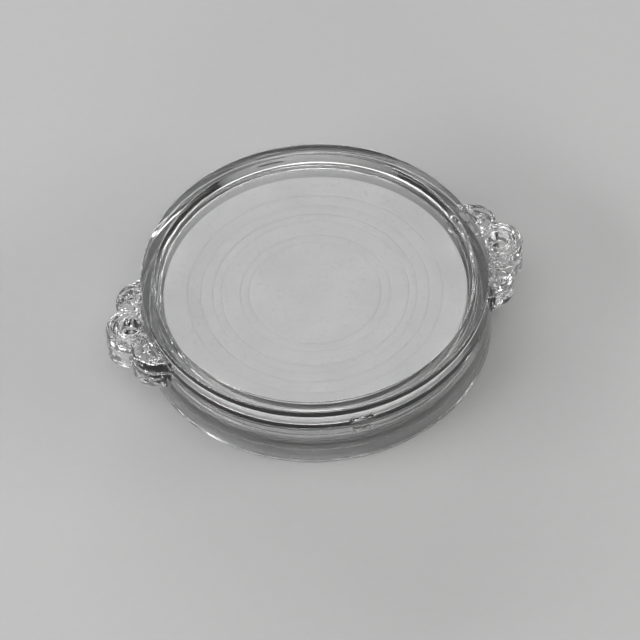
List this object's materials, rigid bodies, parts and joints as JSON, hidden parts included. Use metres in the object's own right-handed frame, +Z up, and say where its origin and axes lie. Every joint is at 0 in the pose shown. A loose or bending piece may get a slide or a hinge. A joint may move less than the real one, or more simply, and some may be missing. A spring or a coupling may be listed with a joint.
{
  "type": "coin capsule",
  "caption": "Round clear push-fit coin capsule with scalloped eyelet ears, a lift-off lid and a white foam pad cut into rings for smaller coins.",
  "frame": {"origin": "on the capsule's axis, at the plane its foot rim stands on", "axes": "+Z up along the capsule's axis, +X through both ears, -Y towards the shells' gate marks"},
  "size_m": [0.0628, 0.0515, 0.0113],
  "materials": {
    "clear_plastic": "gloss",
    "white_foam": "matte"
  },
  "bodies": {
    "base": {"base_shell": "clear_plastic"},
    "lid": {"lid_shell": "clear_plastic"},
    "centre_disc": {"foam_centre_disc": "white_foam"},
    "ring_1": {"foam_ring_1": "white_foam"},
    "ring_2": {"foam_ring_2": "white_foam"},
    "ring_3": {"foam_ring_3": "white_foam"},
    "ring_4": {"foam_ring_4": "white_foam"},
    "ring_5": {"foam_ring_5": "white_foam"},
    "ring_6": {"foam_ring_6": "white_foam"}
  },
  "joints": [
    {"name": "lid_lift", "type": "slide", "parent": "base", "child": "lid", "axis": [0, 0, 1], "range_m": [0, 0.025]},
    {"name": "centre_disc_lift", "type": "slide", "parent": "base", "child": "centre_disc", "axis": [0, 0, 1], "range_m": [0, 0.0013]},
    {"name": "ring_1_lift", "type": "slide", "parent": "base", "child": "ring_1", "axis": [0, 0, 1], "range_m": [0, 0.0013]},
    {"name": "ring_2_lift", "type": "slide", "parent": "base", "child": "ring_2", "axis": [0, 0, 1], "range_m": [0, 0.0013]},
    {"name": "ring_3_lift", "type": "slide", "parent": "base", "child": "ring_3", "axis": [0, 0, 1], "range_m": [0, 0.0013]},
    {"name": "ring_4_lift", "type": "slide", "parent": "base", "child": "ring_4", "axis": [0, 0, 1], "range_m": [0, 0.0013]},
    {"name": "ring_5_lift", "type": "slide", "parent": "base", "child": "ring_5", "axis": [0, 0, 1], "range_m": [0, 0.0013]},
    {"name": "ring_6_lift", "type": "slide", "parent": "base", "child": "ring_6", "axis": [0, 0, 1], "range_m": [0, 0.0013]}
  ]
}
